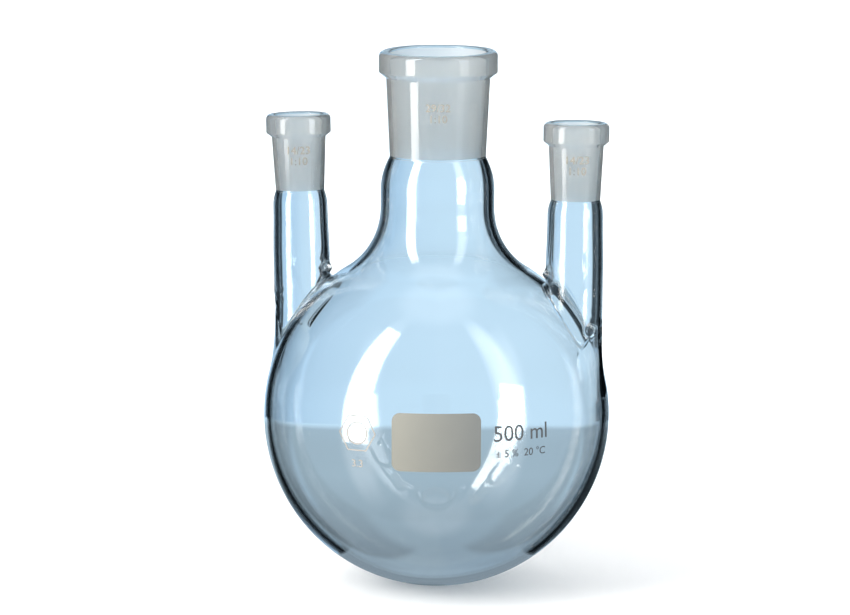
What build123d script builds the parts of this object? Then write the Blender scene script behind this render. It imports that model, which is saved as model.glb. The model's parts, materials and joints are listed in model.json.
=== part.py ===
from build123d import *
import os
from math import atan2, cos, degrees, radians, sin, sqrt

# Three-neck round-bottom flask, 500 ml, with parallel side necks.  All sizes in mm.
# The origin is the lowest point of the bulb, on the axis of the centre neck.  +Z is up, the side
# necks stand along -X (left) and +X (right), and the enamel marks are on the -Y side.

# bulb, blown in one piece with a flared shoulder and a stub for each neck
bulb_radius = 52.5
bulb_wall = 2.0
flare_radius = 21.8  # hollow curve from the bulb into the centre neck
centre_stub = 1.0  # straight glass between the flare and the centre neck's weld
weld_radius = 2.5  # hollow curve of glass round the foot of a side neck
weld_collar = 2.2  # how far the slanted weld of a side neck stands off the bulb

# centre neck and its ground socket
centre_neck_length = 14.26  # from the flare's stub up to the socket's weld
centre_step = 2.65  # how far the neck stands out from the narrow end of its socket
centre_wall = 1.8
centre_shoulder = 7.5  # rounded end of the tube, under the socket
centre_bore = 29.2  # wide end of the ground cone
centre_ground = 31.0  # length of the ground cone
centre_socket_wall = 1.5
centre_rim = 1.85  # how far the rim stands out from the socket's wall at its top
centre_band = 4.4  # straight side of the rim
centre_rim_round = 1.5
centre_mouth_round = 0.8

# side necks and their ground sockets
side_drop = 19.8  # from the centre neck's rim down to a side neck's
side_inset = 1.4  # from the outer wall of a side neck's foot out to the widest of the bulb
left_lean = 1.4  # degrees outwards
right_lean = 0.2
side_step = 0.9
side_swell = 0.3  # how much wider a side neck is at its foot, in radius
side_wall = 1.5
side_shoulder = 3.6
side_bore = 14.5
side_ground = 23.0
side_socket_wall = 1.3
side_rim = 1.3
side_band = 4.2
side_rim_round = 1.4
side_mouth_round = 0.7

# every ground socket
ground_taper = 0.05  # change of radius per length
socket_end = 0.5  # plain glass between the ground cone and the weld
rim_underside = 0.8  # slope under the rim, height per width

# enamel marks: turns are in degrees from -Y towards +X, rises are above the bulb's equator
enamel = 0.1
field_turn = 14.8
field_width = 26.0
field_height = 17.2
field_corner = 2.5
field_rise = 0.8
capacity_turn = 43.2
capacity_rise = 0.8
capacity_size = 4.6
note_rise = -4.0
note_size = 2.2
emblem_turn = -11.4
emblem_rise = 2.7
emblem_radius = 6.0
emblem_line = 0.35
grade_rise = -7.4
grade_size = 2.2
centre_mark_drop = 16.5  # first line of a socket's mark, below its rim
side_mark_drop = 11.6
mark_size = 2.3
mark_gap = 3.3
letter_gap = 0.28  # between letters, as a share of their height
letter_pen = 0.13  # width of a stroke, as a share of the letters' height

# worked out from the sizes above
equator = bulb_radius
centre_small = centre_bore / 2 - ground_taper * centre_ground
centre_radius = centre_small + centre_socket_wall + centre_step
centre_rim_radius = centre_bore / 2 + centre_socket_wall + centre_rim
side_small = side_bore / 2 - ground_taper * side_ground
side_radius = side_small + side_socket_wall + side_step
side_foot_radius = side_radius + side_swell
side_rim_radius = side_bore / 2 + side_socket_wall + side_rim
side_offset = bulb_radius - side_inset - side_foot_radius
side_foot = equator + sqrt(bulb_radius**2 - side_offset**2)
flare_top = equator + sqrt((bulb_radius + flare_radius) ** 2 - (centre_radius + flare_radius) ** 2)
centre_low = flare_top + centre_stub
centre_weld = centre_low + centre_neck_length
overall_height = centre_weld + socket_end + centre_ground
side_height = overall_height - side_drop
sides = {"left": (-1, left_lean), "right": (1, right_lean)}
upright = Plane(origin=(0, 0, 0), x_dir=(1, 0, 0), z_dir=(0, -1, 0))


def neck_plane(side, lean):
    """Upright plane through a neck's axis: X is out from the axis, Y is up along it, 0 at the foot."""
    foot = (side * side_offset, 0, side_foot)
    tilt = radians(side * lean)
    return Plane(origin=foot, x_dir=(cos(tilt), 0, -sin(tilt)), z_dir=(0, -1, 0))


def side_top(lean):
    """Top of a side neck's rim, measured along the neck from its foot."""
    return (side_height - side_foot) / cos(radians(lean))


def side_weld(lean):
    """Weld between a side neck and its socket, measured along the neck from its foot."""
    return side_top(lean) - side_ground - socket_end


def weld_plane(side):
    """Plane of a side neck's slanted weld, square to the bulb's radius at the foot of the neck."""
    outward = Vector(side * side_offset, 0, side_foot - equator).normalized()
    return Plane(origin=Vector(0, 0, equator) + outward * (bulb_radius + weld_collar), z_dir=outward)


def facing(turn, middle):
    """Upright plane through a point on a neck's axis, facing out at a turn from -Y towards +X."""
    angle = radians(turn)
    return Plane(origin=middle, x_dir=(cos(angle), sin(angle), 0), z_dir=(sin(angle), -cos(angle), 0))


def ground_socket(plane, top, bore, ground, wall, rim_radius, band, rim_round, mouth_round):
    """Tapered socket with a thick rim, turned about the neck's axis."""
    small_end = top - ground
    small_radius = bore / 2 - ground_taper * ground
    band_low = top - rim_round - band
    reach = rim_radius - bore / 2 - wall + ground_taper * (top - band_low)
    underside = reach / (1 / rim_underside - ground_taper)
    with BuildPart() as socket:
        with BuildSketch(plane) as section:
            with BuildLine():
                Polyline(
                    (small_radius, small_end - socket_end),
                    (small_radius + wall, small_end - socket_end),
                    (small_radius + wall, small_end),
                    (rim_radius - underside / rim_underside, band_low - underside),
                    (rim_radius, band_low),
                    (rim_radius, top),
                    (bore / 2, top),
                    (small_radius, small_end),
                    close=True,
                )
            make_face()
            mouth, outside = section.vertices().group_by(Axis.Y)[-1].sort_by(Axis.X)
            fillet(mouth, mouth_round)
            fillet(outside, rim_round)
        revolve(axis=Axis(plane.origin, plane.y_dir))
    return socket.part


def neck_tube(plane, low, top, foot_radius, radius, wall, shoulder, bore, outside):
    """Neck of plain tube whose upper end is rounded in to the socket's bore and outside radius."""
    bend = top - shoulder
    with BuildPart() as tube:
        with BuildSketch(plane):
            with BuildLine():
                Line((foot_radius, low), (radius, bend))
                EllipticalCenterArc((outside, bend), radius - outside, shoulder, arc_size=90)
                Line((outside, top), (bore, top))
                Line((bore, top), (bore, top - wall))
                EllipticalCenterArc((bore, bend), radius - wall - bore, shoulder - wall, arc_size=90)
                Line((radius - wall, bend), (foot_radius - wall, low))
                Line((foot_radius - wall, low), (foot_radius, low))
            make_face()
        revolve(axis=Axis(plane.origin, plane.y_dir))
    return tube.part


def blown_shape(radius, neck_radius, flare, foot_radius, top_radius, weld):
    """Solid ball with its flare and side stubs: the bulb's outside, or the hollow within it."""
    reach = neck_radius + flare
    rise = sqrt((radius + flare) ** 2 - reach**2)
    slope = degrees(atan2(rise, reach))
    with BuildPart() as shape:
        with BuildSketch(upright):
            with BuildLine():
                CenterArc((0, equator), radius, -90, 90 + slope)
                CenterArc((reach, equator + rise), flare, 180 + slope, -slope)
                Line((neck_radius, equator + rise), (neck_radius, centre_weld))
                Polyline((neck_radius, centre_weld), (0, centre_weld), (0, equator - radius))
            make_face()
        revolve(axis=Axis.Z)
        for side, lean in sides.values():
            plane = neck_plane(side, lean)
            root = equator - side_foot
            bend = side_weld(lean) - side_shoulder
            with BuildSketch(plane):
                with BuildLine():
                    Polyline((0, root), (foot_radius, root), (top_radius, bend), (0, bend), close=True)
                make_face()
            revolve(axis=Axis(plane.origin, plane.y_dir))
        fillet(shape.edges().filter_by(GeomType.BSPLINE), weld)
    return shape.part


def ball_skin(thickness):
    """Layer on the outside of the bulb."""
    with BuildPart() as skin:
        with Locations((0, 0, equator)):
            Sphere(bulb_radius + thickness)
            Sphere(bulb_radius, mode=Mode.SUBTRACT)
    return skin.part


def socket_skin(plane, top, bore, ground, wall, thickness):
    """Layer on the tapered outside of a socket, below its rim."""
    low, high = top - ground, top - ground / 4
    low_radius = bore / 2 - ground_taper * ground + wall
    high_radius = bore / 2 - ground_taper * ground / 4 + wall
    with BuildPart() as skin:
        with BuildSketch(plane):
            with BuildLine():
                Polyline(
                    (low_radius, low),
                    (low_radius + thickness, low),
                    (high_radius + thickness, high),
                    (high_radius, high),
                    close=True,
                )
            make_face()
        revolve(axis=Axis(plane.origin, plane.y_dir))
    return skin.part


# Letters are drawn with one pen: each is its width and its strokes, in units of its height.
letters = {
    "0": (
        0.5,
        [[(0.1, 0), (0.4, 0), (0.5, 0.15), (0.5, 0.85), (0.4, 1), (0.1, 1), (0, 0.85), (0, 0.15), (0.1, 0)]],
    ),
    "1": (0.3, [[(0, 0.78), (0.22, 1), (0.22, 0)]]),
    "2": (0.5, [[(0, 0.85), (0.12, 1), (0.38, 1), (0.5, 0.85), (0.5, 0.65), (0, 0), (0.5, 0)]]),
    "3": (
        0.5,
        [
            [(0, 0.88), (0.12, 1), (0.38, 1), (0.5, 0.88), (0.5, 0.65), (0.36, 0.53), (0.18, 0.53)],
            [(0.36, 0.53), (0.5, 0.4), (0.5, 0.12), (0.38, 0), (0.12, 0), (0, 0.12)],
        ],
    ),
    "4": (0.5, [[(0.4, 0), (0.4, 1), (0, 0.32), (0.5, 0.32)]]),
    "5": (
        0.5,
        [[(0.47, 1), (0.06, 1), (0.02, 0.56), (0.36, 0.6), (0.5, 0.46), (0.5, 0.15), (0.36, 0), (0, 0.06)]],
    ),
    "9": (
        0.5,
        [
            [(0.5, 0.55), (0.38, 0.42), (0.12, 0.42), (0, 0.57), (0, 0.85), (0.12, 1), (0.38, 1)],
            [(0.38, 1), (0.5, 0.85), (0.5, 0.25), (0.34, 0), (0.1, 0)],
        ],
    ),
    "/": (0.4, [[(0, 0), (0.4, 1)]]),
    ":": (0.1, [[(0.05, 0.1), (0.05, 0.14)], [(0.05, 0.6), (0.05, 0.64)]]),
    ".": (0.1, [[(0.05, 0), (0.05, 0.04)]]),
    "m": (
        0.7,
        [
            [(0, 0), (0, 0.7)],
            [(0, 0.55), (0.2, 0.7), (0.35, 0.55), (0.35, 0)],
            [(0.35, 0.55), (0.55, 0.7), (0.7, 0.55), (0.7, 0)],
        ],
    ),
    "l": (0.1, [[(0.05, 0), (0.05, 1)]]),
    "C": (
        0.5,
        [[(0.5, 0.85), (0.38, 1), (0.12, 1), (0, 0.85), (0, 0.15), (0.12, 0), (0.38, 0), (0.5, 0.15)]],
    ),
    "°": (0.25, [[(0.05, 0.75), (0.2, 0.75), (0.2, 0.95), (0.05, 0.95), (0.05, 0.75)]]),
    "±": (0.5, [[(0, 0.55), (0.5, 0.55)], [(0.25, 0.3), (0.25, 0.8)], [(0, 0.05), (0.5, 0.05)]]),
    "%": (
        0.7,
        [
            [(0.15, 0), (0.55, 1)],
            [(0, 0.7), (0.2, 0.7), (0.2, 1), (0, 1), (0, 0.7)],
            [(0.5, 0), (0.7, 0), (0.7, 0.3), (0.5, 0.3), (0.5, 0)],
        ],
    ),
    " ": (0.3, []),
}


def pen_strokes(words, height, rise):
    """Every straight stroke of a centred line of words, as pairs of points."""
    gap = letter_gap * height
    widths = [letters[letter][0] * height for letter in words]
    across = -(sum(widths) + gap * (len(words) - 1)) / 2
    for letter, width in zip(words, widths):
        for stroke in letters[letter][1]:
            points = [Vector(across + x * height, rise + y * height) for x, y in stroke]
            yield from zip(points, points[1:])
        across += width + gap


def lettering(plane, skin, lines):
    """Enamel letters: the strokes of each line are carried out to the glass and kept within its skin."""
    with BuildPart() as words_on_glass:
        with BuildSketch(plane):
            for words, height, rise in lines:
                for start, end in pen_strokes(words, height, rise):
                    run = end - start
                    with Locations((start + end) / 2):
                        turn = degrees(atan2(run.Y, run.X))
                        SlotCenterToCenter(run.length, letter_pen * height, rotation=turn)
        extrude(amount=2 * bulb_radius)
        add(skin, mode=Mode.INTERSECT)
    return words_on_glass.part


def keep(part, name):
    """Label a finished piece and write it."""
    part.label = name
    export_step(part, f"parts/{name}.step")


os.makedirs("parts", exist_ok=True)

# bulb
outside = blown_shape(
    bulb_radius,
    centre_radius,
    flare_radius,
    side_foot_radius,
    side_radius,
    weld_radius,
)
hollow = blown_shape(
    bulb_radius - bulb_wall,
    centre_radius - centre_wall,
    flare_radius + bulb_wall,
    side_foot_radius - side_wall,
    side_radius - side_wall,
    weld_radius + bulb_wall,
)
with BuildPart() as bulb:
    add(outside)
    add(hollow, mode=Mode.SUBTRACT)
    split(bisect_by=Plane.XY.offset(centre_low), keep=Keep.BOTTOM)
    for side, lean in sides.values():
        split(bisect_by=weld_plane(side), keep=Keep.BOTTOM)
keep(bulb.part, "bulb")

# centre neck and socket
centre_neck = neck_tube(
    upright,
    centre_low,
    centre_weld,
    centre_radius,
    centre_radius,
    centre_wall,
    centre_shoulder,
    centre_small,
    centre_small + centre_socket_wall,
)
keep(centre_neck, "centre_neck")
centre_socket = ground_socket(
    upright,
    overall_height,
    centre_bore,
    centre_ground,
    centre_socket_wall,
    centre_rim_radius,
    centre_band,
    centre_rim_round,
    centre_mouth_round,
)
keep(centre_socket, "centre_socket")

# side necks and sockets
for name, (side, lean) in sides.items():
    plane = neck_plane(side, lean)
    tube = neck_tube(
        plane,
        equator - side_foot,
        side_weld(lean),
        side_foot_radius,
        side_radius,
        side_wall,
        side_shoulder,
        side_small,
        side_small + side_socket_wall,
    )
    with BuildPart() as side_neck:
        add(tube)
        split(bisect_by=weld_plane(side), keep=Keep.TOP)
    keep(side_neck.part, f"{name}_neck")
    side_socket = ground_socket(
        plane,
        side_top(lean),
        side_bore,
        side_ground,
        side_socket_wall,
        side_rim_radius,
        side_band,
        side_rim_round,
        side_mouth_round,
    )
    keep(side_socket, f"{name}_socket")

    # joint size on the side socket
    along = side_top(lean) - side_mark_drop
    skin = socket_skin(plane, side_top(lean), side_bore, side_ground, side_socket_wall, enamel)
    face = facing(field_turn, plane.origin + plane.y_dir * along)
    mark = lettering(face, skin, [("14/23", mark_size, 0), ("1:10", mark_size, -mark_gap)])
    keep(mark, f"{name}_joint_mark")

# joint size on the centre socket
skin = socket_skin(upright, overall_height, centre_bore, centre_ground, centre_socket_wall, enamel)
face = facing(field_turn, (0, 0, overall_height - centre_mark_drop))
mark = lettering(face, skin, [("29/32", mark_size, 0), ("1:10", mark_size, -mark_gap)])
keep(mark, "centre_joint_mark")

# writing field on the bulb
skin = ball_skin(enamel)
with BuildPart() as writing_field:
    with BuildSketch(facing(field_turn, (0, 0, equator + field_rise))):
        RectangleRounded(field_width, field_height, field_corner)
    extrude(amount=2 * bulb_radius)
    add(skin, mode=Mode.INTERSECT)
keep(writing_field.part, "writing_field")

# capacity, and the small note under it
face = facing(capacity_turn, (0, 0, equator))
keep(lettering(face, skin, [("500 ml", capacity_size, capacity_rise)]), "capacity_mark")
keep(lettering(face, skin, [("± 5 %  20 °C", note_size, note_rise)]), "volume_note")

# plain ring emblem with the glass grade under it
face = facing(emblem_turn, (0, 0, equator))
with BuildPart() as emblem:
    with BuildSketch(face):
        with Locations((0, emblem_rise)):
            RegularPolygon(emblem_radius, 6)
            RegularPolygon(emblem_radius - emblem_line, 6, mode=Mode.SUBTRACT)
            Circle(emblem_radius / 2 + emblem_line)
            Circle(emblem_radius / 2, mode=Mode.SUBTRACT)
    extrude(amount=2 * bulb_radius)
    add(skin, mode=Mode.INTERSECT)
keep(emblem.part, "emblem")
keep(lettering(face, skin, [("3.3", grade_size, grade_rise)]), "grade_mark")
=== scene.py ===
import json
from functools import partial

import bmesh
import bpy
import numpy as np
from mathutils import Matrix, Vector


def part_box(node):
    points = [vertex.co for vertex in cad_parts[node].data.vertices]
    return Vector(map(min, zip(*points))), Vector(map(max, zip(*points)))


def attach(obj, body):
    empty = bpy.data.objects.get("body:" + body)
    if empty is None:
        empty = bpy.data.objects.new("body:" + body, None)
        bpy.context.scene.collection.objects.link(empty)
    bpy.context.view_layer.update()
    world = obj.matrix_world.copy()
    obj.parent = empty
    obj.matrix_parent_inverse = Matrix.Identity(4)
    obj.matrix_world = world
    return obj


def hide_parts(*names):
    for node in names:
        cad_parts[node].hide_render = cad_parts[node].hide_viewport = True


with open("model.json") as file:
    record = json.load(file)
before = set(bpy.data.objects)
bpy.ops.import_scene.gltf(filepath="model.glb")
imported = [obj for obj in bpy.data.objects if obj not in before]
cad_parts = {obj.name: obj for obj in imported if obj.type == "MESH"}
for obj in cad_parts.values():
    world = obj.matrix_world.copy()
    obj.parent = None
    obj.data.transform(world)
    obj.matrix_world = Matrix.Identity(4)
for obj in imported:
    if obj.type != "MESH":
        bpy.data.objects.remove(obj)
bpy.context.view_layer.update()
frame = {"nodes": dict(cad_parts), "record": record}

# ---------------------------------------------------------------------------------------------
# The bulb: borosilicate glass, blown in one piece in a mould and flared into the centre neck.
# Each side neck is melted on over a hole in its shoulder, so the wall ends in two curved mouths
# there.  Where two pieces are melted together the glass is one, and a seam can't be seen.
# ---------------------------------------------------------------------------------------------
mounts = {mount["name"]: mount for mount in frame["record"]["mounts"]}
BULB_RADIUS = mounts["bulb_seat"]["dims"]["r_mm"] / 1000
BULB_WALL = 0.0020
FLARE_RADIUS = 0.0218  # the hollow curve from the ball up into the centre neck
CENTRE_RADIUS = mounts["neck_clamp_band"]["dims"]["r_mm"] / 1000
CENTRE_WALL = 0.0018
CENTRE_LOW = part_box("centre_neck")[0].z
SIDE_RADIUS = 0.0086  # a side neck at its foot
SIDE_WALL = 0.0015
INNER_FOOT = 0.0008  # radius of the hollow curve at a side neck's foot, all round but for its outside
OUTER_FOOT = 0.1100  # and there, where the neck runs almost straight into the ball
BACK_FOOT = 0.0030  # how much larger that radius is at the back
FOOT_WIDENING = 0.0005  # how much larger the curve's radius is on the wall's inside
FOOT_SPREAD = 14  # how quickly the foot's curve tightens round the neck
BALL_CENTRE = np.array([0.0, 0.0, BULB_RADIUS])
FLASK_AXIS = np.zeros(3), np.array([0.0, 0.0, 1.0]), np.array([1.0, 0.0, 0.0])
ACROSS, UPRIGHT = 96, 32  # steps over half the ball and down its shoulder, along a mouth's border
MOUTH_STEPS, BELLY_STEPS, FLARE_STEPS = 34, 56, 26
ROUND = np.linspace(-np.pi / 2, 1.5 * np.pi, 2 * ACROSS, endpoint=False)
LOWER_EDGE = np.radians(100)  # where the shoulder's sheets meet the belly's, from the top
WAVE_HEIGHT = 0.000016  # blown and flame-worked glass is never quite even
WAVES = np.array([[61, 23, 35], [-37, 71, 19], [17, -29, 97], [131, 89, -43]], float)
WELD_HEIGHT = {"left": 0.0925, "right": 0.0885}  # of the slanted weld on a side neck's axis
WELD_TILT = {"left": np.radians(34), "right": np.radians(43)}
WELD_SWELL, SWELL_WIDTH = 0.00012, 0.0022  # of the ring's two swells
WELD_GROOVE, GROOVE_WIDTH = 0.00018, 0.0007  # and of the groove between them
WELD_FADE = 3  # how quickly the weld's ring fades towards the front and back of a neck
WELD_REACH, REACH_EDGE = 0.014, 12  # how far from a neck's axis the ring goes, and how sharply it ends
# lumps of melted glass, and a dent: turn from straight out to the front, rise from the weld, height, width
KNOTS = {
    "left": ((np.radians(172), 0.0032, 0.0014, 0.0016), (np.radians(20), -0.0085, -0.0004, 0.0016)),
    "right": ((np.radians(150), 0.0088, 0.0013, 0.0015), (np.radians(38), -0.0076, 0.0011, 0.0014)),
}
MOUTH_MIDDLE = np.radians(54)  # of a side neck's mouth in the bulb, from the bulb's top
MOUTH_STRETCH = 0.8  # of turns round the flask against angles down it, for rows that run straight out
MOUTH_EVENNESS = 0.5  # share of even steps in the turns round a mouth
MERGE_GAP = 3e-7  # sheets' edges closer than this are joined
SLOPE_STEP = 1e-5  # for measuring how steep the unevenness is
OUTER_PHASE, INNER_PHASE = 0.3, 1.7  # so that the wall's two skins aren't uneven in the same way
GLASS_IOR = 1.473
CLEAR, SEAM, GROUND, PRESSED = range(4)  # places among a piece's materials


def unit(vectors):
    """Vectors divided by their length."""
    return vectors / np.linalg.norm(vectors, axis=-1, keepdims=True)


def side_axis(name):
    """A side neck's rim centre, its upward axis, and the direction across it away from the flask."""
    mount = mounts[f"{name}_ground_socket"]
    up = unit(np.array(mount["axis"]))
    outward = unit(np.cross([0, np.sign(mount["pos_m"][0]), 0], up))
    return np.array(mount["pos_m"]), up, outward


def waviness(points, phase):
    """Height of the glass's unevenness: four sine waves through space, added."""
    return WAVE_HEIGHT * np.sin(points @ WAVES.T + phase * np.arange(1, 5)).sum(-1)


def flame_worked(points, phase):
    """Waviness, and at each side neck a groove between two swells along the slanted weld, and the knots.

    The weld is a bell curve of the distance from its plane, near the neck, less a narrower one."""
    height = waviness(points, phase)
    for name, tilt in WELD_TILT.items():
        top, up, outward = side_axis(name)
        middle = top + up * (WELD_HEIGHT[name] - top[2]) / up[2]
        gap = (points - middle) @ (np.sin(tilt) * outward + np.cos(tilt) * up)
        reach = np.linalg.norm(np.cross(points - top, up), axis=-1)
        facing = (points - top) @ outward / reach
        swell = WELD_SWELL * np.exp(-((gap / SWELL_WIDTH) ** 2))
        ring = swell - WELD_GROOVE * np.exp(-((gap / GROOVE_WIDTH) ** 2))
        height = height + ring * facing ** (2 * WELD_FADE) / (1 + (reach / WELD_REACH) ** REACH_EDGE)
        front = np.cross(outward, up) * np.sign(outward[0])
        for turn, rise, lump, wide in KNOTS[name]:
            spot = middle + SIDE_RADIUS * (np.cos(turn) * outward + np.sin(turn) * front) + rise * up
            height = height + lump * np.exp(-(np.linalg.norm(points - spot, axis=-1) / wide) ** 2)
    return height


def uneven(points, normals, height, *more):
    """Points moved along their normals by height(points), and the normals turned by its slope.

    The slope is the central difference along each axis, less its share along the normal."""
    steps = np.eye(3) * SLOPE_STEP
    climbs = [height(points + step, *more) - height(points - step, *more) for step in steps]
    slope = np.stack(climbs, -1) / (2 * SLOPE_STEP)
    slope -= (slope * normals).sum(-1, keepdims=True) * normals
    return points + normals * height(points, *more)[..., None], unit(normals - slope)


def glass_mesh(name, sheets, materials):
    """A closed mesh from sheets of points on a grid that loops round: (points, normals, finish).

    A sheet's first direction runs anticlockwise and its second to the left of it, seen from outside."""
    places, facing, quads, finishes, start = [], [], [], [], 0
    for points, normals, finish in sheets:
        rows, columns = points.shape[:2]
        number = start + np.arange(rows * columns).reshape(rows, columns)
        number = np.vstack([number, number[:1]])
        corners = [number[:-1, :-1], number[1:, :-1], number[1:, 1:], number[:-1, 1:]]
        quads.append(np.stack(corners, -1).reshape(-1, 4))
        finishes.append(np.tile(np.broadcast_to(finish, columns - 1), rows))
        places.append(points.reshape(-1, 3))
        facing.append(normals.reshape(-1, 3))
        start += rows * columns
    mesh = bpy.data.meshes.new(name)
    mesh.from_pydata(np.concatenate(places), [], np.concatenate(quads))
    for material in materials:
        mesh.materials.append(material)
    mesh.polygons.foreach_set("material_index", np.concatenate(finishes).astype(np.int32))
    mesh.attributes.new("out", "FLOAT_VECTOR", "POINT").data.foreach_set(
        "vector", np.concatenate(facing).astype(np.float32).ravel()
    )
    cage = bmesh.new()
    cage.from_mesh(mesh)
    bmesh.ops.remove_doubles(cage, verts=cage.verts, dist=MERGE_GAP)
    loose, volume = sum(not edge.is_manifold for edge in cage.edges), cage.calc_volume(signed=True)
    cage.to_mesh(mesh)
    cage.free()
    print(f"{name}: {len(mesh.polygons)} faces, {loose} open edges, {volume * 1e6:.2f} cm3")
    mesh.shade_smooth()
    outward = np.empty(len(mesh.vertices) * 3, np.float32)
    mesh.attributes["out"].data.foreach_get("vector", outward)
    mesh.normals_split_custom_set_from_vertices(outward.reshape(-1, 3))
    mesh.attributes.remove(mesh.attributes["out"])
    piece = bpy.data.objects.new(name, mesh)
    bpy.context.collection.objects.link(piece)
    return piece


def foot_curve(axis, turns, neck, ball, extra):
    """The ball that rolls between neck and bulb: its centre, its two contacts and its radius, by turn.

    Its centre is a neck radius plus its own from the axis, and a bulb radius plus its own from the
    bulb's centre.  Neck and ball are the two radii, and extra widens the curve on the wall's inside."""
    top, up, outward = axis
    across = np.cos(turns)[:, None] * outward + np.sin(turns)[:, None] * np.cross(up, outward)
    outside = ((1 + np.cos(turns)) / 2) ** FOOT_SPREAD
    radius = INNER_FOOT + (OUTER_FOOT - INNER_FOOT) * outside + BACK_FOOT * np.maximum(across[:, 1], 0) ** 2
    radius = (radius + extra)[:, None]
    base = top - BALL_CENTRE + (neck + radius) * across
    along = base @ up[:, None]
    rise = -along + np.sqrt(along**2 - (base**2).sum(1, keepdims=True) + (ball + radius) ** 2)
    centre = BALL_CENTRE + base + rise * up
    on_neck = centre - radius * across
    on_ball = BALL_CENTRE + (centre - BALL_CENTRE) * ball / (ball + radius)
    return centre, on_neck, on_ball, radius


def flare_slope(ball, neck, flare):
    """Angle from the flask's axis at which the flare meets the ball."""
    return np.arcsin((neck + flare) / (ball + flare))


def mouth_border(top):
    """The border that a shoulder sheet grows in from, as turns round the flask and angles from its top.

    It runs from below the neck round the sheet's four sides, anticlockwise, back to its start."""
    low, quarter, half = LOWER_EDGE, np.pi / 2, ACROSS // 2
    sides = [
        (np.linspace(0, quarter, half, endpoint=False), np.full(half, low)),
        (np.full(UPRIGHT, quarter), np.linspace(low, top, UPRIGHT, endpoint=False)),
        (np.linspace(quarter, -quarter, ACROSS, endpoint=False), np.full(ACROSS, top)),
        (np.full(UPRIGHT, -quarter), np.linspace(top, low, UPRIGHT, endpoint=False)),
        (np.linspace(-quarter, 0, half, endpoint=False), np.full(half, low)),
    ]
    return tuple(np.concatenate(part) for part in zip(*sides))


def mouth_turns():
    """Turns round a side neck that go with the border's points: a mean of even steps and straight out."""
    around, down = mouth_border(flare_slope(BULB_RADIUS, CENTRE_RADIUS, FLARE_RADIUS))
    straight = np.unwrap(np.arctan2(around * MOUTH_STRETCH, down - MOUTH_MIDDLE))
    even = np.linspace(0, 2 * np.pi, len(around), endpoint=False)
    return MOUTH_EVENNESS * even + (1 - MOUTH_EVENNESS) * straight


def on_sphere(around, down, radius):
    """Points of the bulb's ball at turns from +X about its axis and angles from its top."""
    out = np.stack([np.sin(down) * np.cos(around), np.sin(down) * np.sin(around), np.cos(down)], -1)
    return BALL_CENTRE + radius * out, out


def turned(section, section_normals, axis, turns):
    """A section of (radius, height) pairs turned about an axis, with its normals turned the same way."""
    base, up, outward = axis
    spoke = np.cos(turns)[:, None] * outward + np.sin(turns)[:, None] * np.cross(up, outward)
    places = spoke[:, None] * section[:, :1] + up * section[:, 1:]
    return base + places, unit(spoke[:, None] * section_normals[:, :1] + up * section_normals[:, 1:])


def bulb_skins(ball, neck, flare, side_neck, extra, phase, way):
    """One skin of the bulb: two shoulder sheets with a mouth each, the belly and the flare.

    A shoulder sheet runs straight, in turn and in angle from the top, from its border to its mouth.
    Way is 1 for the outer skin, whose normals point away from the ball's centre, and -1 for the inner."""
    slope = flare_slope(ball, neck, flare)
    around, down = mouth_border(slope)
    share = np.linspace(0, 1, MOUTH_STEPS + 1)
    skins = []
    for name, side in (("left", -1), ("right", 1)):
        ray = unit(foot_curve(side_axis(name), mouth_turns(), side_neck, ball, extra)[2] - BALL_CENTRE)
        mouth_around, mouth_down = np.arctan2(side * ray[:, 1], side * ray[:, 0]), np.arccos(ray[:, 2])
        grid_around = around[:, None] + (mouth_around - around)[:, None] * share
        grid_down = down[:, None] + (mouth_down - down)[:, None] * share
        skins.append(on_sphere(grid_around + (np.pi if side < 0 else 0), grid_down, ball))
    belly = np.meshgrid(ROUND, np.linspace(np.pi, LOWER_EDGE, BELLY_STEPS + 1), indexing="ij")
    skins.append(on_sphere(*belly, ball))
    bend = np.linspace(slope, np.pi / 2, FLARE_STEPS + 1)
    heights = np.append(BULB_RADIUS + (ball + flare) * np.cos(slope) - flare * np.cos(bend), CENTRE_LOW)
    radii = np.append(neck + flare - flare * np.sin(bend), neck)
    leaning = np.vstack([np.stack([np.sin(bend), np.cos(bend)], -1), [1, 0]])
    skins.append(turned(np.stack([radii, heights], -1), leaning, FLASK_AXIS, ROUND))
    return [uneven(points, way * out, flame_worked, phase) for points, out in skins]


def end_of(skin, row=-1):
    """The edge of a skin, as points and normals."""
    return skin[0][:, row], skin[1][:, row]


def inside_out(skin):
    """An inner skin, with its first direction turned round so that it faces the hollow."""
    return skin[0][::-1], skin[1][::-1]


def melted_end(first, second):
    """The end of a wall, from one skin's edge to the other's, where it is melted to the next piece."""
    return *(np.stack(pair, 1) for pair in zip(first, second)), SEAM


def new_material(name):
    """An empty node material, with its tree, its shader and its place in the piece."""
    material = bpy.data.materials.new(name)
    material.use_nodes = True
    tree = material.node_tree
    place = tree.nodes.new("ShaderNodeTexCoord").outputs["Object"]
    return material, tree, tree.nodes["Principled BSDF"], place


def add_node(tree, kind, inputs, **settings):
    """A shader node with its settings, and its inputs set to values or linked to other nodes' outputs."""
    made = tree.nodes.new("ShaderNode" + kind)
    for setting, value in settings.items():
        setattr(made, setting, value)
    for socket, value in inputs.items():
        if isinstance(value, bpy.types.NodeSocket):
            tree.links.new(value, made.inputs[socket])
        else:
            made.inputs[socket].default_value = value
    return made


def mottled(tree, place, scale, light, dark, detail=3):
    """A colour that drifts between two through soft noise."""
    noise = add_node(tree, "TexNoise", {"Vector": place, "Scale": scale, "Detail": detail})
    mix = add_node(tree, "Mix", {"Factor": noise.outputs["Fac"], "A": light, "B": dark}, data_type="RGBA")
    return mix.outputs["Result"]


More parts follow.
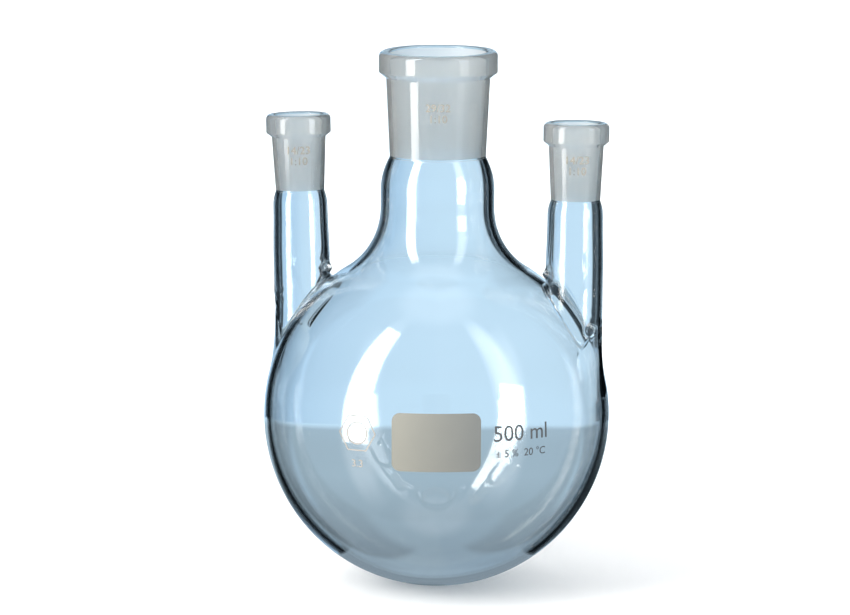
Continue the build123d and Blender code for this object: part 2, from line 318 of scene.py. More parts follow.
def new_glass(name, scale, light, dark, transmission=1):
    """A node material for borosilicate glass, with a tint that drifts between two colours."""
    material, tree, shader, place = new_material(name)
    shader.inputs["Transmission Weight"].default_value = transmission
    shader.inputs["IOR"].default_value = GLASS_IOR
    tree.links.new(mottled(tree, place, scale, light, dark), shader.inputs["Base Color"])
    return material, tree, shader, place


def clear_glass():
    """Fire-polished glass: nearly colourless, with faint cords from the melt."""
    material, tree, shader, place = new_glass("clear_glass", 45, (1.0, 1.0, 1.0, 1), (0.975, 0.99, 0.985, 1))
    shader.inputs["Roughness"].default_value = 0
    return material


def melted_seam():
    """The inside of the glass where two pieces are one: nothing to see."""
    material, tree, shader, place = new_material("melted_seam")
    clear = add_node(tree, "BsdfTransparent", {})
    tree.links.new(clear.outputs["BSDF"], tree.nodes["Material Output"].inputs["Surface"])
    tree.nodes.remove(shader)
    return material


glass, seam = clear_glass(), melted_seam()
bulb_outside = bulb_skins(BULB_RADIUS, CENTRE_RADIUS, FLARE_RADIUS, SIDE_RADIUS, 0, OUTER_PHASE, 1)
bulb_inside = bulb_skins(
    BULB_RADIUS - BULB_WALL,
    CENTRE_RADIUS - CENTRE_WALL,
    FLARE_RADIUS + BULB_WALL,
    SIDE_RADIUS - SIDE_WALL,
    FOOT_WIDENING,
    INNER_PHASE,
    -1,
)
bulb_sheets = [(*skin, CLEAR) for skin in bulb_outside]
bulb_sheets += [(*inside_out(skin), CLEAR) for skin in bulb_inside]
for number in (0, 1, 3):  # the left mouth, the right mouth and the top of the flare
    bulb_sheets.append(melted_end(end_of(bulb_outside[number]), end_of(bulb_inside[number])))
blown_bulb = glass_mesh("blown_bulb", bulb_sheets, [glass, seam])
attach(blown_bulb, "root")
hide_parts("bulb")

# ---------------------------------------------------------------------------------------------
# The centre neck: a short length of plain tube, melted on to the flare.  Its upper end is
# rounded in by the flame to meet the narrower end of the ground socket.
# ---------------------------------------------------------------------------------------------
CENTRE_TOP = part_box("centre_neck")[1].z
CENTRE_SHOULDER = 0.0100  # height of the neck's rounded upper end
CENTRE_BORE = mounts["centre_ground_socket"]["dims"]["r_mm"] / 1000
CENTRE_GROUND = mounts["centre_ground_socket"]["dims"]["length_mm"] / 1000
CENTRE_SOCKET_WALL = 0.0015
GROUND_TAPER = 0.05  # change of a ground cone's radius over its length
TUBE_STEPS, SHOULDER_STEPS = 16, 20


def profile_normals(radii, heights):
    """Normals of a wall's outside from its slope, straight across it."""
    return unit(np.stack([np.gradient(heights), -np.gradient(radii)], -1))


def shoulder_curve(radius, end, bend, shoulder):
    """A parabola from a tube's wall in to the radius at its end, with the normals of its outside."""
    heights = np.linspace(bend, bend + shoulder, SHOULDER_STEPS + 1)
    radii = radius + (end - radius) * ((heights - bend) / shoulder) ** 2
    return np.stack([radii, heights], -1), profile_normals(radii, heights)


centre_bend = CENTRE_TOP - CENTRE_SHOULDER
centre_narrow = CENTRE_BORE - GROUND_TAPER * CENTRE_GROUND
levels = np.linspace(CENTRE_LOW, centre_bend, TUBE_STEPS, endpoint=False)
neck_skins = []
for way, radius, end, phase in (
    (1, CENTRE_RADIUS, centre_narrow + CENTRE_SOCKET_WALL, OUTER_PHASE),
    (-1, CENTRE_RADIUS - CENTRE_WALL, centre_narrow, INNER_PHASE),
):
    curve, curve_normals = shoulder_curve(radius, end, centre_bend, CENTRE_SHOULDER)
    outline = np.vstack([np.stack([np.full(TUBE_STEPS, radius), levels], -1), curve])
    outline_normals = way * np.vstack([np.tile([1.0, 0.0], (TUBE_STEPS, 1)), curve_normals])
    neck_skins.append(uneven(*turned(outline, outline_normals, FLASK_AXIS, ROUND), flame_worked, phase))
neck_outside, neck_inside = neck_skins
neck_sheets = [
    (*neck_outside, CLEAR),
    (*inside_out(neck_inside), CLEAR),
    melted_end(end_of(neck_outside), end_of(neck_inside)),
    melted_end(end_of(neck_inside, 0), end_of(neck_outside, 0)),
]
middle_neck = glass_mesh("flared_centre_neck", neck_sheets, [glass, seam])
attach(middle_neck, "root")
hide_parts("centre_neck")

# ---------------------------------------------------------------------------------------------
# The side necks: plain tube, melted on to the bulb's shoulder along a slanted ring.  The weld
# pulls the glass into a tight hollow curve, which opens out where the neck runs on down the bulb.
# ---------------------------------------------------------------------------------------------
SIDE_BORE = mounts["left_ground_socket"]["dims"]["r_mm"] / 1000
SIDE_GROUND = mounts["left_ground_socket"]["dims"]["length_mm"] / 1000
SIDE_SOCKET_WALL = 0.0013
SOCKET_END = 0.0005  # plain glass below a ground cone, down to the weld
SIDE_SHOULDER = 0.0046  # height of a side neck's rounded upper end
SIDE_NARROWING = 0.0003  # how much slimmer a side neck is above its foot
NARROW_FROM, NARROW_TO = -0.0430, -0.0285  # below the rim
FOOT_STEPS, SIDE_STEPS = 14, 76
ROW_CROWDING = 1.4  # how much closer together a side neck's rows lie near its foot
WIDTH_STEP = 1e-6  # for measuring how fast the width changes


def smooth(share):
    """An easy step from 0 to 1 as the share goes from 0 to 1."""
    share = np.clip(share, 0, 1)
    return share * share * (3 - 2 * share)


def side_radius(heights, radius):
    """Radius of a side neck by height from its rim: its foot's radius, eased in a little above it."""
    share = (heights - NARROW_FROM) / (NARROW_TO - NARROW_FROM)
    return radius - SIDE_NARROWING * smooth(share)


def side_foot(axis, neck, ball, extra, way):
    """The hollow curve at a side neck's foot, from the ball to the neck: an arc of the rolling ball.

    Directions from its centre turn evenly from one contact to the other."""
    centre, on_neck, on_ball, radius = foot_curve(axis, mouth_turns(), neck, ball, extra)
    start, stop = (on_ball - centre) / radius, (on_neck - centre) / radius
    angle = np.arccos((start * stop).sum(1))[:, None, None]
    share = np.linspace(0, 1, FOOT_STEPS + 1)[:, None]
    spoke = start[:, None] * np.sin((1 - share) * angle) + stop[:, None] * np.sin(share * angle)
    spoke = spoke / np.sin(angle)
    return centre[:, None] + radius[:, None] * spoke, -way * spoke, on_neck


def side_tube(axis, on_neck, low_share, neck, way, top_height, end):
    """A side neck's wall above its foot: its radius by height, along the neck, and by turn, round it.

    Rows lie closer together near the foot, where the weld is."""
    top, up, outward = axis
    turns = mouth_turns()
    across = np.cos(turns)[:, None] * outward + np.sin(turns)[:, None] * np.cross(up, outward)
    foot = (on_neck - top) @ up
    bend = top_height - SIDE_SHOULDER
    heights = foot[:, None] + (bend - foot)[:, None] * low_share
    radii = side_radius(heights, neck)
    change = side_radius(heights + WIDTH_STEP, neck) - side_radius(heights - WIDTH_STEP, neck)
    slope = change / (2 * WIDTH_STEP)
    points = top + across[:, None] * radii[..., None] + up * heights[..., None]
    normals = way * unit(across[:, None] - up * slope[..., None])
    section, section_normals = shoulder_curve(neck - SIDE_NARROWING, end, bend, SIDE_SHOULDER)
    upper, upper_normals = turned(section[1:], way * section_normals[1:], axis, turns)
    return np.concatenate([points, upper], 1), np.concatenate([normals, upper_normals], 1)


side_narrow = SIDE_BORE - GROUND_TAPER * SIDE_GROUND
rows = np.linspace(0, 1, SIDE_STEPS + 1)[1:] ** ROW_CROWDING
for name in ("left", "right"):
    axis = side_axis(name)
    skins = []
    for way, neck, ball, extra, phase, end in (
        (1, SIDE_RADIUS, BULB_RADIUS, 0, OUTER_PHASE, side_narrow + SIDE_SOCKET_WALL),
        (-1, SIDE_RADIUS - SIDE_WALL, BULB_RADIUS - BULB_WALL, FOOT_WIDENING, INNER_PHASE, side_narrow),
    ):
        points, normals, on_neck = side_foot(axis, neck, ball, extra, way)
        more = side_tube(axis, on_neck, rows, neck, way, -SIDE_GROUND - SOCKET_END, end)
        whole = np.concatenate([points, more[0]], 1), np.concatenate([normals, more[1]], 1)
        skins.append(uneven(*whole, flame_worked, phase))
    sheets = [
        (*skins[0], CLEAR),
        (*inside_out(skins[1]), CLEAR),
        melted_end(end_of(skins[0]), end_of(skins[1])),
        melted_end(end_of(skins[1], 0), end_of(skins[0], 0)),
    ]
    side_neck = glass_mesh(f"welded_{name}_neck", sheets, [glass, seam])
    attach(side_neck, "root")
    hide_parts(f"{name}_neck")

# ---------------------------------------------------------------------------------------------
# The ground sockets: thick tube drawn to a 1:10 taper with a pressed rim, melted on to each
# neck.  The cone inside is ground with grit to a fine matt, which makes the whole socket look
# frosted.  The outside stays fire polished, and the rim's top has the satin look of the press.
# ---------------------------------------------------------------------------------------------
# bore, ground length, wall, then the rim's reach, its band and round, and the mouth's round
CENTRE_SIZES = CENTRE_BORE, CENTRE_GROUND, CENTRE_SOCKET_WALL, 0.00185, 0.0044, 0.0015, 0.0008
SIDE_SIZES = SIDE_BORE, SIDE_GROUND, SIDE_SOCKET_WALL, 0.0013, 0.0042, 0.0014, 0.0007
SOCKET_SIZES = {"centre": CENTRE_SIZES, "left": SIDE_SIZES, "right": SIDE_SIZES}
RIM_UNDERSIDE = 0.8  # slope under a rim, height over width
CONE_ROUND, BAND_ROUND = 0.003, 0.0006  # where the cone meets the plain end, and below the rim's band
STRETCH = 0.0012  # longest step along a socket's straight walls
ARC_STEP = np.radians(9)  # and round its corners
SOCKET_PHASE = 0.9
RIM_TOP, GROUND_WALL = 4, 5  # places among the outline's walls
RIM_WARP = 0.0010  # how much the centre rim, pressed by hand, rises towards the back


def rounded_outline(corners, rounds):
    """An open outline of straight walls with rounded corners: points, normals and each step's wall.

    The normal lies to the right of the way along it.  A corner's arc starts its tangent's length,
    which is its radius by the tangent of half the turn, before the corner."""
    corners = np.array(corners)
    ways = unit(np.diff(corners, axis=0))
    rights = np.stack([ways[:, 1], -ways[:, 0]], -1)
    points, normals, walls, here = [corners[:1]], [rights[:1]], [], corners[0]
    for wall in range(len(ways)):
        last = wall == len(ways) - 1
        turn = 0 if last else np.arctan2(np.cross(ways[wall], ways[wall + 1]), ways[wall] @ ways[wall + 1])
        radius = 0 if last else rounds[wall]
        arc_start = corners[wall + 1] - ways[wall] * radius * np.tan(abs(turn) / 2)
        steps = max(1, int(np.ceil(np.linalg.norm(arc_start - here) / STRETCH)))
        points.append(here + (arc_start - here) * np.linspace(0, 1, steps + 1)[1:, None])
        normals.append(np.tile(rights[wall], (steps, 1)))
        walls += [wall] * steps
        if not last:
            side = np.sign(turn)
            centre = arc_start - side * radius * rights[wall]
            arc_steps = max(2, int(np.ceil(abs(turn) / ARC_STEP)))
            angle = np.arctan2(*rights[wall][::-1]) + turn * np.linspace(0, 1, arc_steps + 1)[1:]
            spokes = np.stack([np.cos(angle), np.sin(angle)], -1)
            points.append(centre + side * radius * spokes)
            normals.append(spokes)
            walls += [wall] * arc_steps
            here = points[-1][-1]
    return np.vstack(points), np.vstack(normals), np.array(walls)


def ground_glass():
    """The ground cone: grit has left a fine, even matt that passes light but no picture."""
    tones = (0.91, 0.88, 0.83, 1), (0.85, 0.825, 0.785, 1)
    material, tree, shader, place = new_glass("ground_glass", 160, *tones, transmission=0.7)
    fine = add_node(tree, "TexNoise", {"Vector": place, "Scale": 900, "Detail": 2})
    matt = add_node(tree, "MapRange", {"Value": fine.outputs["Fac"], "To Min": 0.42, "To Max": 0.62})
    tree.links.new(matt.outputs["Result"], shader.inputs["Roughness"])
    return material


def pressed_glass():
    """The rim's top, pressed hot against a tool: satin, and greyer than the blown glass."""
    tones = (0.80, 0.78, 0.74, 1), (0.66, 0.645, 0.62, 1)
    material, tree, shader, place = new_glass("pressed_glass", 90, *tones)
    rough = mottled(tree, place, 260, (0.14, 0.14, 0.14, 1), (0.30, 0.30, 0.30, 1))
    tree.links.new(rough, shader.inputs["Roughness"])
    return material


frosted, pressed = ground_glass(), pressed_glass()
for name, (bore, ground, wall, reach, band, rim_round, mouth_round) in SOCKET_SIZES.items():
    axis = FLASK_AXIS if name == "centre" else side_axis(name)
    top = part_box("centre_socket")[1].z if name == "centre" else 0
    narrow, rim = bore - GROUND_TAPER * ground, bore + wall + reach
    band_low = top - rim_round - band
    hang = (rim - bore - wall + GROUND_TAPER * (top - band_low)) / (1 / RIM_UNDERSIDE - GROUND_TAPER)
    corners = [
        (narrow + wall, top - ground - SOCKET_END),
        (narrow + wall, top - ground),
        (rim - hang / RIM_UNDERSIDE, band_low - hang),
        (rim, band_low),
        (rim, top),
        (bore, top),
        (narrow, top - ground),
        (narrow, top - ground - SOCKET_END),
    ]
    rounds = [CONE_ROUND, BAND_ROUND, BAND_ROUND, rim_round, mouth_round, CONE_ROUND]
    points, normals, walls = rounded_outline(corners, rounds)
    socket = turned(points, normals, axis, ROUND)
    if name == "centre":
        backward = smooth((socket[0][..., 1] + rim) / (2 * rim))
        socket[0][..., 2] += RIM_WARP * smooth((points[:, 1] - band_low) / rim_round) * backward
    finish = np.select([walls == GROUND_WALL, walls == RIM_TOP], [GROUND, PRESSED], CLEAR)
    wall_sheet = *uneven(*socket, waviness, SOCKET_PHASE), finish
    sheets = [wall_sheet, melted_end(end_of(wall_sheet), end_of(wall_sheet, 0))]
    piece = glass_mesh(f"ground_{name}_socket", sheets, [glass, seam, frosted, pressed])
    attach(piece, "root")
    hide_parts(f"{name}_socket")

# ---------------------------------------------------------------------------------------------
# The enamel: ceramic ink screened on to the cold glass and fired into it.  A pale field to write
# on, the capacity and its note in grey, and a pale emblem, glass grade and joint sizes.
# ---------------------------------------------------------------------------------------------
# Painted light and shade on the writing field: its lit tone at the left and its shaded tone at the right,
# blended between the two sides given below.
FIELD_LIT, FIELD_SHADED = (0.25, 0.245, 0.21, 1), (0.165, 0.17, 0.16, 1)
FIELD_SIDES = 0.003, 0.024  # of the field, across the flask
GREY_LIGHT, GREY_DARK = (0.075, 0.08, 0.085, 1), (0.045, 0.05, 0.055, 1)
JOINT_LIGHT, JOINT_DARK = (0.40, 0.345, 0.27, 1), (0.33, 0.285, 0.22, 1)
PALE_LIGHT, PALE_DARK = (0.40, 0.36, 0.31, 1), (0.32, 0.285, 0.25, 1)
FIELD_TURN, CAPACITY_TURN, EMBLEM_TURN = np.radians([14.8, 43.2, -11.4])  # from -Y towards +X
JOINT_LETTER, JOINT_GAP = 0.0023, 0.0033
INK_SUNK, INK_PROUD = -0.00002, 0.00009  # of the letters' back and front, from the glass
CENTRE_RIM = np.array(mounts["centre_ground_socket"]["pos_m"]), *FLASK_AXIS[1:]
JOINT_DROPS = {"centre": 0.0165, "left": 0.0116, "right": 0.0116}  # of the size below the rim
LETTER_MERGE = 1e-4  # in the letters' own units


def ink(light, dark):
    """The colour of ink with a slightly uneven cover, to be made in a material's tree."""
    return partial(mottled, scale=350, light=light, dark=dark, detail=6)


def field_ink_and_painted_shade(tree, place):
    """The writing field's colour with painted shade: lighter at its left side, where the light comes from,
    and painted darker towards its right, times a soft cloud.
    """
    across = add_node(tree, "SeparateXYZ", {"Vector": place}).outputs["X"]
    share = {"Value": across, "From Min": FIELD_SIDES[0], "From Max": FIELD_SIDES[1]}
    share = add_node(tree, "MapRange", share).outputs["Result"]
    # Painted shade: the field goes from its lit tone at the left to its shaded tone at the right.
    painted_side_shade = add_node(tree, "Mix", {"Factor": share, "A": FIELD_LIT, "B": FIELD_SHADED}, data_type="RGBA")
    cloud = mottled(tree, place, 120, (1, 1, 1, 1), (0.90, 0.90, 0.91, 1), 5)
    mixed = {"Factor": 1.0, "A": painted_side_shade.outputs["Result"], "B": cloud}
    return add_node(tree, "Mix", mixed, data_type="RGBA", blend_type="MULTIPLY").outputs["Result"]


def fired_enamel(name, cover, roughness):
    """Fired ceramic ink: a matt layer with a fine grain.  Cover makes its colour in the tree."""
    material, tree, shader, place = new_material(name)
    tree.links.new(cover(tree, place), shader.inputs["Base Color"])
    shader.inputs["Roughness"].default_value = roughness
    grain = add_node(tree, "TexNoise", {"Vector": place, "Scale": 2600, "Detail": 2})
    bump = add_node(tree, "Bump", {"Height": grain.outputs["Fac"], "Distance": 0.00002, "Strength": 0.35})
    tree.links.new(bump.outputs["Normal"], shader.inputs["Normal"])
    return material


def words_in_units(words, height):
    """A line of words as closed letters, centred on its middle, with figures of the given height."""
    letters = []
    for text in ("0", words):
        curve = bpy.data.curves.new("letters", "FONT")
        curve.body, curve.align_x, curve.extrude, curve.resolution_u = text, "CENTER", 0.5, 5
        shaper = bpy.data.objects.new("letters", curve)
        letters.append(bpy.data.meshes.new_from_object(shaper))
        bpy.data.objects.remove(shaper)
    figure, mesh = letters
    tall = max(vertex.co.y for vertex in figure.vertices)
    cage = bmesh.new()
    cage.from_mesh(mesh)
    bmesh.ops.remove_doubles(cage, verts=cage.verts, dist=LETTER_MERGE)
    cage.to_mesh(mesh)
    cage.free()
    flat = np.empty(len(mesh.vertices) * 3)
    mesh.vertices.foreach_get("co", flat)
    flat = flat.reshape(-1, 3)
    return mesh, flat[:, :2] * height / tall, flat[:, 2] + 0.5


def on_bulb(turn, across, up, depth):
    """Points carried straight out to the ball, plus a depth, from a plane that faces out at a turn."""
    side = np.array([np.cos(turn), np.sin(turn), 0.0])
    front = np.array([np.sin(turn), -np.cos(turn), 0.0])
    out = np.sqrt((BULB_RADIUS + depth) ** 2 - across**2 - up**2)
    return BALL_CENTRE + across[:, None] * side + up[:, None] * np.array([0, 0, 1]) + out[:, None] * front


def on_socket(turn, name, across, up, depth):
    """Points carried out to a socket's cone, plus a depth, from its axis; up is measured from the rim."""
    bore, wall = SOCKET_SIZES[name][0], SOCKET_SIZES[name][2]
    rim, along = (CENTRE_RIM if name == "centre" else side_axis(name))[:2]
    front = np.array([np.sin(turn), -np.cos(turn), 0.0])
    side = unit(np.cross(along, front))
    radius = bore + wall + GROUND_TAPER * up + depth
    out = np.sqrt(radius**2 - across**2)
    return rim + across[:, None] * side + up[:, None] * along + out[:, None] * np.cross(side, along)


def print_words(node, lines, carry, enamel):
    """Lines of words, (words, height, rise) each, as one piece of enamel that replaces a plain one."""
    cage = bmesh.new()
    for words, height, rise in lines:
        mesh, flat, depth = words_in_units(words, height)
        places = carry(flat[:, 0], flat[:, 1] + rise, INK_SUNK + (INK_PROUD - INK_SUNK) * depth)
        mesh.vertices.foreach_set("co", places.ravel())
        cage.from_mesh(mesh)
    mesh = bpy.data.meshes.new(f"printed_{node}")
    cage.to_mesh(mesh)
    cage.free()
    mesh.materials.clear()
    mesh.materials.append(enamel)
    piece = bpy.data.objects.new(f"printed_{node}", mesh)
    bpy.context.collection.objects.link(piece)
    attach(piece, "root")
    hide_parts(node)


grey_enamel = fired_enamel("grey_enamel", ink(GREY_LIGHT, GREY_DARK), 0.45)
pale_enamel = fired_enamel("pale_enamel", ink(PALE_LIGHT, PALE_DARK), 0.45)
joint_enamel = fired_enamel("joint_enamel", ink(JOINT_LIGHT, JOINT_DARK), 0.45)
field_enamel = fired_enamel("field_enamel", field_ink_and_painted_shade, 0.55)
frame["nodes"]["writing_field"].material_slots[0].material = field_enamel
frame["nodes"]["emblem"].material_slots[0].material = pale_enamel
for node, words, height, rise, turn, enamel, slot in (
    ("capacity_mark", "500 ml", 0.0046, 0.0008, CAPACITY_TURN, grey_enamel, "mark_enamel"),
    ("volume_note", "± 5 %  20 °C", 0.0022, -0.0040, CAPACITY_TURN, grey_enamel, "mark_enamel"),
    ("grade_mark", "3.3", 0.0022, -0.0074, EMBLEM_TURN, pale_enamel, "emblem_enamel"),
):
    print_words(node, [(words, height, rise)], partial(on_bulb, turn), enamel)
for name, drop in JOINT_DROPS.items():
    size = "29/32" if name == "centre" else "14/23"
    lines = [(size, JOINT_LETTER, -drop), ("1:10", JOINT_LETTER, -drop - JOINT_GAP)]
    carry = partial(on_socket, FIELD_TURN, name)
    print_words(f"{name}_joint_mark", lines, carry, joint_enamel)

# ---------------------------------------------------------------------------------------------
# The studio: a pale floor, a blue backdrop and table that show only through and in the glass, a
# tall soft box at each side of the camera, and dark flags beside the backdrop that draw the
# glass's edges.  The camera stands a little to the right and looks slightly down.
# ---------------------------------------------------------------------------------------------
CAMERA_TURN, CAMERA_RISE, CAMERA_AWAY = np.radians(14.8), np.radians(10.63), 1.085
LENS, SENSOR = 150.7, 36  # mm
AIM_UP, AIM_LEFT, ROLL = np.radians(1.695), np.radians(0.193), np.radians(0.3)
FLOOR_REACH = 8.0
# Turns are in degrees round from straight behind the flask, and rises in degrees above level.
SKY, SKY_LEFT = (0.60, 0.83, 1.02, 1), (0.45, 0.68, 0.91, 1)
SKY_SIDES = -7, 0  # where the backdrop's left tone gives way to its own
LOW_TONE = (0.29, 0.375, 0.43, 1)  # below the backdrop
HORIZON = -10.85  # rise of the table's far edge
LOW_FROM, LOW_SOFT = -38, 6  # rise at which the low tone begins, and its softness
FLAG_TONE = (0.004, 0.006, 0.008, 1)
LEFT_FLAG, RIGHT_FLAG, FLAG_RISE = (-64, -17), (12, 64), (-48, 52)
FLAG_SPREAD = 0.45  # how far the flags close in towards each other, per degree below the horizon
SIDE_TONE, SIDE_FROM = 0.6, -30  # brightness beyond the flags, as a share, and the rise it starts at
NO_EDGE = 200  # a rise or a turn that no direction reaches, for a side that has no edge
LEFT_BOX, RIGHT_BOX = (-134, -115), (119, 137)
LEFT_WHITE, RIGHT_WHITE = (1.0, 0.97, 0.92, 1), (0.95, 0.98, 1.0, 1)
LAMPS = (  # turn and its softness, rise and its softness, power, colour
    (LEFT_BOX, 1, (-11.8, 60), 1.0, 12, LEFT_WHITE),
    (LEFT_BOX, 5, (-42, 64), 14, 1.4, (1.0, 0.98, 0.96, 1)),
    (RIGHT_BOX, 2, (-4.5, 16), 1.5, 8, RIGHT_WHITE),
    (RIGHT_BOX, 5, (-4, 64), 8, 1.8, RIGHT_WHITE),
    (RIGHT_BOX, 5, (-42, 64), 14, 1.3, RIGHT_WHITE),
    ((-NO_EDGE, NO_EDGE), 1, (72, NO_EDGE), 6, 0.8, (1, 1, 1, 1)),
)
FILL_LEFT, FILL_RIGHT = 1.4, 0.75  # light on matt surfaces, from each side
TABLE_FAR, TABLE_NEAR = (0.37, 0.50, 0.60, 1), (0.215, 0.28, 0.335, 1)
TABLE_EDGE, TABLE_SOFT = 0.249, 0.008  # its far edge's distance behind the flask, and softness
TABLE_DROP = 0.0005
NEAR_SHARE = 0.6  # of the way to the far edge, over which the near tone turns to the far one
TABLE_LEFT, TABLE_RIGHT = -0.17, 0.13  # the far edge's ends, across the view
TONGUE, TONGUE_BACK, TONGUE_FRONT = 0.034, 0.02, -0.15  # the narrow part under the flask


def maths(tree, operation, first, second=0.0):
    """One step of arithmetic on two values."""
    return add_node(tree, "Math", {0: first, 1: second}, operation=operation).outputs[0]


def soft_step(tree, value, low, high, start=0, stop=1):
    """An easy step from start to stop as the value goes from low to high."""
    ends = {"Value": value, "From Min": low, "From Max": high, "To Min": start, "To Max": stop}
    return add_node(tree, "MapRange", ends, interpolation_type="SMOOTHSTEP").outputs["Result"]


def soft_window(tree, value, low, high, soft):
    """One where the value lies between low and high, and 0 outside, with soft edges."""
    up = soft_step(tree, value, low - soft, low + soft)
    down = soft_step(tree, value, high - soft, high + soft, 1, 0)
    return maths(tree, "MULTIPLY", up, down)


def blend_colour(tree, kind, factor, first, second):
    """Two colours mixed, added or multiplied."""
    inputs = {"Factor": factor, "A": first, "B": second}
    mix = add_node(tree, "Mix", inputs, data_type="RGBA", blend_type=kind, clamp_factor=False)
    return mix.outputs["Result"]


def light_studio():
    """The world's light by direction: turn from straight behind the flask and rise, in degrees."""
    world = bpy.data.worlds.new("studio")
    bpy.context.scene.world = world
    world.use_nodes = True
    tree = world.node_tree
    tree.nodes.clear()
    way = add_node(tree, "TexCoord", {}).outputs["Generated"]
    aligned = add_node(tree, "Mapping", {"Vector": way, "Rotation": (0, 0, -CAMERA_TURN)})
    x, y, z = add_node(tree, "SeparateXYZ", {"Vector": aligned.outputs["Vector"]}).outputs
    turn = maths(tree, "DEGREES", maths(tree, "ARCTAN2", x, y))
    rise = maths(tree, "DEGREES", maths(tree, "ARCSINE", z))
    beyond = maths(tree, "SUBTRACT", 1, soft_window(tree, turn, LEFT_FLAG[0], RIGHT_FLAG[1], 3))
    drop = maths(tree, "MULTIPLY", beyond, HORIZON - LOW_FROM)
    above = soft_step(tree, maths(tree, "SUBTRACT", rise, drop), LOW_FROM - LOW_SOFT, LOW_FROM + LOW_SOFT)
    backdrop = blend_colour(tree, "MIX", soft_step(tree, turn, *SKY_SIDES), SKY_LEFT, SKY)
    base = blend_colour(tree, "MIX", above, LOW_TONE, backdrop)
    below = maths(tree, "MAXIMUM", maths(tree, "SUBTRACT", HORIZON, rise), 0)
    spread = maths(tree, "MULTIPLY", below, FLAG_SPREAD)
    left_flag = soft_window(tree, maths(tree, "SUBTRACT", turn, spread), *LEFT_FLAG, 1.5)
    right_flag = soft_window(tree, maths(tree, "ADD", turn, spread), *RIGHT_FLAG, 1.5)
    flags = maths(tree, "MAXIMUM", left_flag, right_flag)
    flags = maths(tree, "MULTIPLY", flags, soft_window(tree, rise, *FLAG_RISE, 6))
    beyond = maths(tree, "MULTIPLY", beyond, soft_window(tree, rise, SIDE_FROM, NO_EDGE, 8))
    base = blend_colour(tree, "MULTIPLY", beyond, base, (SIDE_TONE, SIDE_TONE, SIDE_TONE, 1))
    base = blend_colour(tree, "MIX", flags, base, FLAG_TONE)
    for sides, side_soft, rises, rise_soft, power, colour in LAMPS:
        across = soft_window(tree, turn, *sides, side_soft)
        shape = maths(tree, "MULTIPLY", across, soft_window(tree, rise, *rises, rise_soft))
        base = blend_colour(tree, "ADD", maths(tree, "MULTIPLY", shape, power), base, colour)
    path = add_node(tree, "LightPath", {}).outputs
    fill = add_node(tree, "MapRange", {"Value": x, "From Min": -1, "To Min": FILL_LEFT, "To Max": FILL_RIGHT})
    base = blend_colour(tree, "MIX", path["Is Diffuse Ray"], base, fill.outputs["Result"])
    colour = blend_colour(tree, "MIX", path["Is Camera Ray"], base, (1, 1, 1, 1))
    light = add_node(tree, "Background", {"Color": colour})
    add_node(tree, "OutputWorld", {"Surface": light.outputs["Background"]})


def stage_sheet(name, corners, material):
    """A flat sheet through its corners, anticlockwise from above, that isn't part of the flask."""
    mesh = bpy.data.meshes.new(name)
    mesh.from_pydata(corners, [], [range(len(corners))])
    mesh.materials.append(material)
    sheet = bpy.data.objects.new(name, mesh)
    bpy.context.collection.objects.link(sheet)
    return sheet


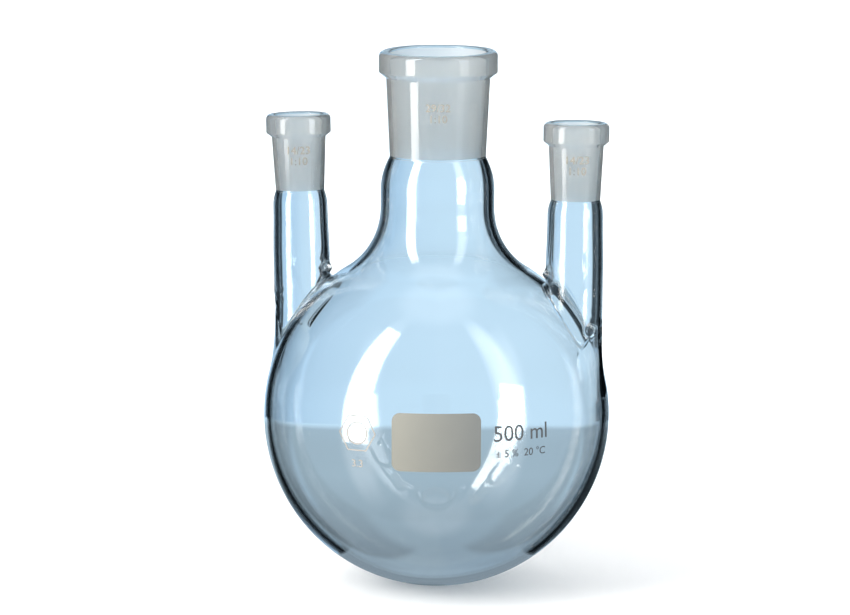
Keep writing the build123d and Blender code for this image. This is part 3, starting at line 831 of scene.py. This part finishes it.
def blue_table():
    """The narrow blue-grey table that shows only through and in the glass, with a soft far edge."""
    cos, sin = np.cos(CAMERA_TURN), np.sin(CAMERA_TURN)
    right, back, down = np.array([cos, sin, 0]), np.array([-sin, cos, 0]), np.array([0, 0, TABLE_DROP])
    far = TABLE_EDGE + TABLE_SOFT
    front_end = (-TONGUE, TONGUE_FRONT), (TONGUE, TONGUE_FRONT)
    outline = *front_end, (TONGUE, TONGUE_BACK), (TABLE_RIGHT, far), (TABLE_LEFT, far), (-TONGUE, TONGUE_BACK)
    corners = [right * x + back * y - down for x, y in outline]
    material, tree, shader, place = new_material("blue_table")
    aligned = add_node(tree, "Mapping", {"Vector": place, "Rotation": (0, 0, -CAMERA_TURN)})
    depth = add_node(tree, "SeparateXYZ", {"Vector": aligned.outputs["Vector"]}).outputs["Y"]
    near = add_node(tree, "MapRange", {"Value": depth, "From Max": NEAR_SHARE * TABLE_EDGE})
    edge = soft_step(tree, depth, TABLE_EDGE - TABLE_SOFT, TABLE_EDGE + TABLE_SOFT)
    tone = blend_colour(tree, "MIX", near.outputs["Result"], TABLE_NEAR, TABLE_FAR)
    light = add_node(tree, "Emission", {"Color": blend_colour(tree, "MIX", edge, tone, SKY)})
    tree.links.new(light.outputs["Emission"], tree.nodes["Material Output"].inputs["Surface"])
    tree.nodes.remove(shader)
    table = stage_sheet("blue_table", corners, material)
    table.visible_camera = table.visible_diffuse = table.visible_shadow = False


def pale_floor():
    """A flat sheet of matt white laminate, wider than the view."""
    corners = FLOOR_REACH * np.array([[-1, -1, 0], [1, -1, 0], [1, 1, 0], [-1, 1, 0]])
    material, tree, shader, place = new_material("pale_floor")
    shade = mottled(tree, place, 6, (0.97, 0.97, 0.97, 1), (0.96, 0.962, 0.965, 1))
    tree.links.new(shade, shader.inputs["Base Color"])
    shader.inputs["Roughness"].default_value = 0.9
    shader.inputs["Specular IOR Level"].default_value = 0.0
    floor = stage_sheet("pale_floor", corners, material)
    floor.visible_transmission = floor.visible_glossy = False


def set_camera():
    """A long lens, aimed a little above and left of the bulb's middle."""
    data = bpy.data.cameras.new("camera")
    data.lens, data.sensor_width = LENS, SENSOR
    data.clip_start, data.clip_end = 0.05, 60
    camera = bpy.data.objects.new("camera", data)
    bpy.context.collection.objects.link(camera)
    level = np.cos(CAMERA_RISE)
    way = np.array([np.sin(CAMERA_TURN) * level, -np.cos(CAMERA_TURN) * level, np.sin(CAMERA_RISE)])
    aim = Matrix.Rotation(CAMERA_TURN, 4, "Z") @ Matrix.Rotation(np.pi / 2 - CAMERA_RISE, 4, "X")
    aim = aim @ Matrix.Rotation(AIM_LEFT, 4, "Y") @ Matrix.Rotation(AIM_UP, 4, "X")
    aim = aim @ Matrix.Rotation(ROLL, 4, "Z")
    camera.matrix_world = Matrix.Translation(BALL_CENTRE + CAMERA_AWAY * way) @ aim
    bpy.context.scene.camera = camera


light_studio()
blue_table()
pale_floor()
set_camera()
bpy.context.scene.view_settings.view_transform = "Standard"
cycles = bpy.context.scene.cycles  # light crosses many walls of glass, most of all along the necks
cycles.max_bounces = cycles.transmission_bounces = cycles.transparent_max_bounces = 32
cycles.glossy_bounces = 12
